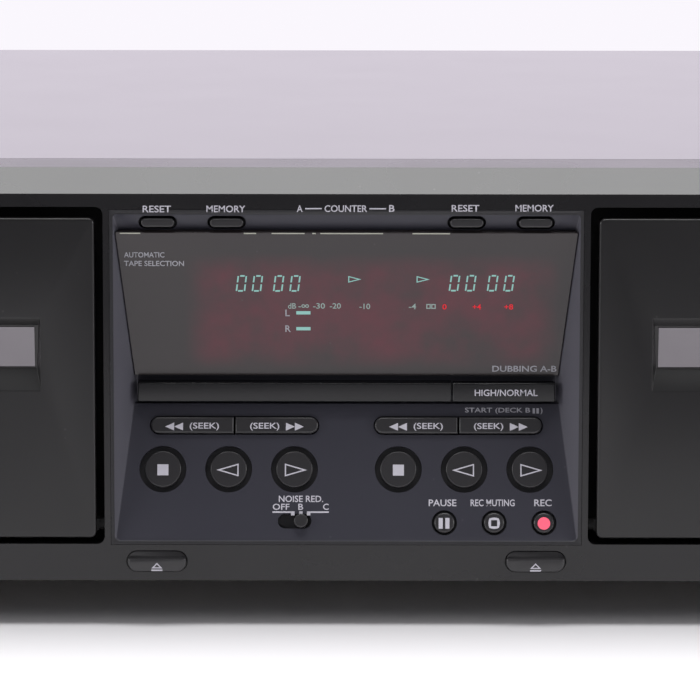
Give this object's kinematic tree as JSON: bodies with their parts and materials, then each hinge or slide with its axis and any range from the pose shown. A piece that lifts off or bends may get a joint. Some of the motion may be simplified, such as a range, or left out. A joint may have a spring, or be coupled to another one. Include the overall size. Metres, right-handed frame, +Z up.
{
  "type": "cassette deck",
  "caption": "Full-width dual-well cassette deck with a recessed centre display, push buttons, and two tilting cassette doors over working tape mechanisms.",
  "frame": {"origin": "on the floor, in the middle of the deck's footprint", "axes": "+X to the deck's right as seen from the front, +Y to the back, +Z up"},
  "size_m": [0.43, 0.29, 0.12],
  "materials": {
    "cover_paint": "semi-gloss black paint on sheet steel",
    "panel_plastic": "fine-grained black moulding",
    "fascia_plastic": "blue-black painted moulding",
    "door_plastic": "satin black moulding",
    "smoked_acrylic": "polished smoked acrylic",
    "door_glass": "clear acrylic",
    "tube_glass": "clear glass over printed anodes",
    "button_plastic": "smooth black moulding",
    "holder_plastic": "black acetal",
    "plated_steel": "zinc-plated sheet steel",
    "rear_steel": "matt black paint on sheet steel",
    "motor_steel": "nickel-plated can",
    "flywheel_metal": "turned and plated steel",
    "head_metal": "pressed base with polished head",
    "spindle_plastic": "white acetal",
    "belt_rubber": "flat rubber belt",
    "foot_rubber": "moulded rubber",
    "screw_steel": "blackened steel",
    "jack_metal": "nickel-plated sleeves",
    "gland_plastic": "black nylon",
    "circuit_board": "paper-phenolic board",
    "transformer_iron": "varnished laminations"
  },
  "bodies": {
    "case": {"chassis_pan": "plated_steel", "rear_panel": "rear_steel", "top_cover": "cover_paint", "front_panel": "panel_plastic", "centre_fascia": "fascia_plastic", "feet": "foot_rubber", "case_screws": "screw_steel", "display_window": "smoked_acrylic", "display_tube": "tube_glass", "dubbing_trim": "button_plastic", "phones_jack": "jack_metal", "rca_jacks": "jack_metal", "cord_gland": "gland_plastic", "mechanism_frame_a": "plated_steel", "mechanism_frame_b": "plated_steel", "capstan_motors": "motor_steel", "drive_belts": "belt_rubber", "power_transformer": "transformer_iron", "main_board": "circuit_board"},
    "door_a": {"door_cover_a": "door_plastic", "door_window_a": "door_glass", "cassette_holder_a": "holder_plastic"},
    "eject_button_a": {"eject_button_a": "button_plastic"},
    "reset_button_a": {"reset_button_a": "button_plastic"},
    "memory_button_a": {"memory_button_a": "button_plastic"},
    "rewind_button_a": {"rewind_button_a": "button_plastic"},
    "forward_button_a": {"forward_button_a": "button_plastic"},
    "stop_button_a": {"stop_button_a": "button_plastic"},
    "reverse_button_a": {"reverse_button_a": "button_plastic"},
    "play_button_a": {"play_button_a": "button_plastic"},
    "left_spindle_a": {"left_spindle_a": "spindle_plastic"},
    "right_spindle_a": {"right_spindle_a": "spindle_plastic"},
    "right_flywheel_a": {"right_flywheel_a": "flywheel_metal"},
    "left_flywheel_a": {"left_flywheel_a": "flywheel_metal"},
    "motor_pulley_a": {"motor_pulley_a": "spindle_plastic"},
    "head_carriage_a": {"head_carriage_a": "head_metal"},
    "door_b": {"door_cover_b": "door_plastic", "door_window_b": "door_glass", "cassette_holder_b": "holder_plastic"},
    "eject_button_b": {"eject_button_b": "button_plastic"},
    "reset_button_b": {"reset_button_b": "button_plastic"},
    "memory_button_b": {"memory_button_b": "button_plastic"},
    "rewind_button_b": {"rewind_button_b": "button_plastic"},
    "forward_button_b": {"forward_button_b": "button_plastic"},
    "stop_button_b": {"stop_button_b": "button_plastic"},
    "reverse_button_b": {"reverse_button_b": "button_plastic"},
    "play_button_b": {"play_button_b": "button_plastic"},
    "left_spindle_b": {"left_spindle_b": "spindle_plastic"},
    "right_spindle_b": {"right_spindle_b": "spindle_plastic"},
    "right_flywheel_b": {"right_flywheel_b": "flywheel_metal"},
    "left_flywheel_b": {"left_flywheel_b": "flywheel_metal"},
    "motor_pulley_b": {"motor_pulley_b": "spindle_plastic"},
    "head_carriage_b": {"head_carriage_b": "head_metal"},
    "pause_button": {"pause_button": "button_plastic"},
    "rec_muting_button": {"rec_muting_button": "button_plastic"},
    "rec_button": {"rec_button": "button_plastic"},
    "dubbing_button": {"dubbing_button": "button_plastic"},
    "power_button": {"power_button": "button_plastic"},
    "noise_switch": {"noise_switch": "button_plastic"},
    "rec_level_knob": {"rec_level_knob": "button_plastic"}
  },
  "joints": [
    {"name": "door_a_hinge", "type": "hinge", "parent": "case", "child": "door_a", "pos_m": [-0.12715, -0.1327, 0.0263], "axis": [1, 0, 0], "range_deg": [0, 25]},
    {"name": "eject_button_a_press", "type": "slide", "parent": "case", "child": "eject_button_a", "axis": [0, 1, 0], "range_m": [0, 0.003], "stiffness_N_per_m": 500},
    {"name": "reset_button_a_press", "type": "slide", "parent": "case", "child": "reset_button_a", "axis": [0, 1, 0], "range_m": [0, 0.0015], "stiffness_N_per_m": 500},
    {"name": "memory_button_a_press", "type": "slide", "parent": "case", "child": "memory_button_a", "axis": [0, 1, 0], "range_m": [0, 0.0015], "stiffness_N_per_m": 500},
    {"name": "rewind_button_a_press", "type": "slide", "parent": "case", "child": "rewind_button_a", "axis": [0, 0.9484, -0.3171], "range_m": [0, 0.0015], "stiffness_N_per_m": 500},
    {"name": "forward_button_a_press", "type": "slide", "parent": "case", "child": "forward_button_a", "axis": [0, 0.9484, -0.3171], "range_m": [0, 0.0015], "stiffness_N_per_m": 500},
    {"name": "stop_button_a_press", "type": "slide", "parent": "case", "child": "stop_button_a", "axis": [0, 0.9484, -0.3171], "range_m": [0, 0.0015], "stiffness_N_per_m": 500},
    {"name": "reverse_button_a_press", "type": "slide", "parent": "case", "child": "reverse_button_a", "axis": [0, 0.9484, -0.3171], "range_m": [0, 0.0015], "stiffness_N_per_m": 500},
    {"name": "play_button_a_press", "type": "slide", "parent": "case", "child": "play_button_a", "axis": [0, 0.9484, -0.3171], "range_m": [0, 0.0015], "stiffness_N_per_m": 500},
    {"name": "left_spindle_a_spin", "type": "hinge", "parent": "case", "child": "left_spindle_a", "pos_m": [-0.1484, -0.116, 0.0733], "axis": [0, 1, 0], "continuous": true},
    {"name": "right_spindle_a_spin", "type": "hinge", "parent": "case", "child": "right_spindle_a", "pos_m": [-0.1059, -0.116, 0.0733], "axis": [0, 1, 0], "continuous": true},
    {"name": "right_flywheel_a_spin", "type": "hinge", "parent": "case", "child": "right_flywheel_a", "pos_m": [-0.10215, -0.109, 0.0475], "axis": [0, 1, 0], "continuous": true},
    {"name": "left_flywheel_a_spin", "type": "hinge", "parent": "case", "child": "left_flywheel_a", "pos_m": [-0.15215, -0.109, 0.0475], "axis": [0, 1, 0], "continuous": true},
    {"name": "motor_pulley_a_spin", "type": "hinge", "parent": "case", "child": "motor_pulley_a", "pos_m": [-0.12715, -0.109, 0.085], "axis": [0, 1, 0], "continuous": true},
    {"name": "head_carriage_a_lift", "type": "slide", "parent": "case", "child": "head_carriage_a", "axis": [0, 0, 1], "range_m": [0, 0.008]},
    {"name": "door_b_hinge", "type": "hinge", "parent": "case", "child": "door_b", "pos_m": [0.12715, -0.1327, 0.0263], "axis": [1, 0, 0], "range_deg": [0, 25]},
    {"name": "eject_button_b_press", "type": "slide", "parent": "case", "child": "eject_button_b", "axis": [0, 1, 0], "range_m": [0, 0.003], "stiffness_N_per_m": 500},
    {"name": "reset_button_b_press", "type": "slide", "parent": "case", "child": "reset_button_b", "axis": [0, 1, 0], "range_m": [0, 0.0015], "stiffness_N_per_m": 500},
    {"name": "memory_button_b_press", "type": "slide", "parent": "case", "child": "memory_button_b", "axis": [0, 1, 0], "range_m": [0, 0.0015], "stiffness_N_per_m": 500},
    {"name": "rewind_button_b_press", "type": "slide", "parent": "case", "child": "rewind_button_b", "axis": [0, 0.9484, -0.3171], "range_m": [0, 0.0015], "stiffness_N_per_m": 500},
    {"name": "forward_button_b_press", "type": "slide", "parent": "case", "child": "forward_button_b", "axis": [0, 0.9484, -0.3171], "range_m": [0, 0.0015], "stiffness_N_per_m": 500},
    {"name": "stop_button_b_press", "type": "slide", "parent": "case", "child": "stop_button_b", "axis": [0, 0.9484, -0.3171], "range_m": [0, 0.0015], "stiffness_N_per_m": 500},
    {"name": "reverse_button_b_press", "type": "slide", "parent": "case", "child": "reverse_button_b", "axis": [0, 0.9484, -0.3171], "range_m": [0, 0.0015], "stiffness_N_per_m": 500},
    {"name": "play_button_b_press", "type": "slide", "parent": "case", "child": "play_button_b", "axis": [0, 0.9484, -0.3171], "range_m": [0, 0.0015], "stiffness_N_per_m": 500},
    {"name": "left_spindle_b_spin", "type": "hinge", "parent": "case", "child": "left_spindle_b", "pos_m": [0.1059, -0.116, 0.0733], "axis": [0, 1, 0], "continuous": true},
    {"name": "right_spindle_b_spin", "type": "hinge", "parent": "case", "child": "right_spindle_b", "pos_m": [0.1484, -0.116, 0.0733], "axis": [0, 1, 0], "continuous": true},
    {"name": "right_flywheel_b_spin", "type": "hinge", "parent": "case", "child": "right_flywheel_b", "pos_m": [0.15215, -0.109, 0.0475], "axis": [0, 1, 0], "continuous": true},
    {"name": "left_flywheel_b_spin", "type": "hinge", "parent": "case", "child": "left_flywheel_b", "pos_m": [0.10215, -0.109, 0.0475], "axis": [0, 1, 0], "continuous": true},
    {"name": "motor_pulley_b_spin", "type": "hinge", "parent": "case", "child": "motor_pulley_b", "pos_m": [0.12715, -0.109, 0.085], "axis": [0, 1, 0], "continuous": true},
    {"name": "head_carriage_b_lift", "type": "slide", "parent": "case", "child": "head_carriage_b", "axis": [0, 0, 1], "range_m": [0, 0.008]},
    {"name": "pause_button_press", "type": "slide", "parent": "case", "child": "pause_button", "axis": [0, 0.9484, -0.3171], "range_m": [0, 0.0015], "stiffness_N_per_m": 500},
    {"name": "rec_muting_button_press", "type": "slide", "parent": "case", "child": "rec_muting_button", "axis": [0, 0.9484, -0.3171], "range_m": [0, 0.0015], "stiffness_N_per_m": 500},
    {"name": "rec_button_press", "type": "slide", "parent": "case", "child": "rec_button", "axis": [0, 0.9484, -0.3171], "range_m": [0, 0.0015], "stiffness_N_per_m": 500},
    {"name": "dubbing_button_press", "type": "slide", "parent": "case", "child": "dubbing_button", "axis": [0, 1, 0], "range_m": [0, 0.0015], "stiffness_N_per_m": 500},
    {"name": "power_button_press", "type": "slide", "parent": "case", "child": "power_button", "axis": [0, 1, 0], "range_m": [0, 0.004], "stiffness_N_per_m": 500},
    {"name": "noise_switch_slide", "type": "slide", "parent": "case", "child": "noise_switch", "axis": [1, 0, 0], "range_m": [-0.004, 0]},
    {"name": "rec_level_knob_turn", "type": "hinge", "parent": "case", "child": "rec_level_knob", "pos_m": [0.20255, -0.137, 0.052], "axis": [0, 1, 0], "range_deg": [-150, 150]}
  ],
  "couplings": [
    {"joint": "left_flywheel_a_spin", "follows": "right_flywheel_a_spin", "ratio": -1},
    {"joint": "motor_pulley_a_spin", "follows": "right_flywheel_a_spin", "ratio": 4.5472},
    {"joint": "left_flywheel_b_spin", "follows": "right_flywheel_b_spin", "ratio": -1},
    {"joint": "motor_pulley_b_spin", "follows": "right_flywheel_b_spin", "ratio": 4.5472}
  ]
}
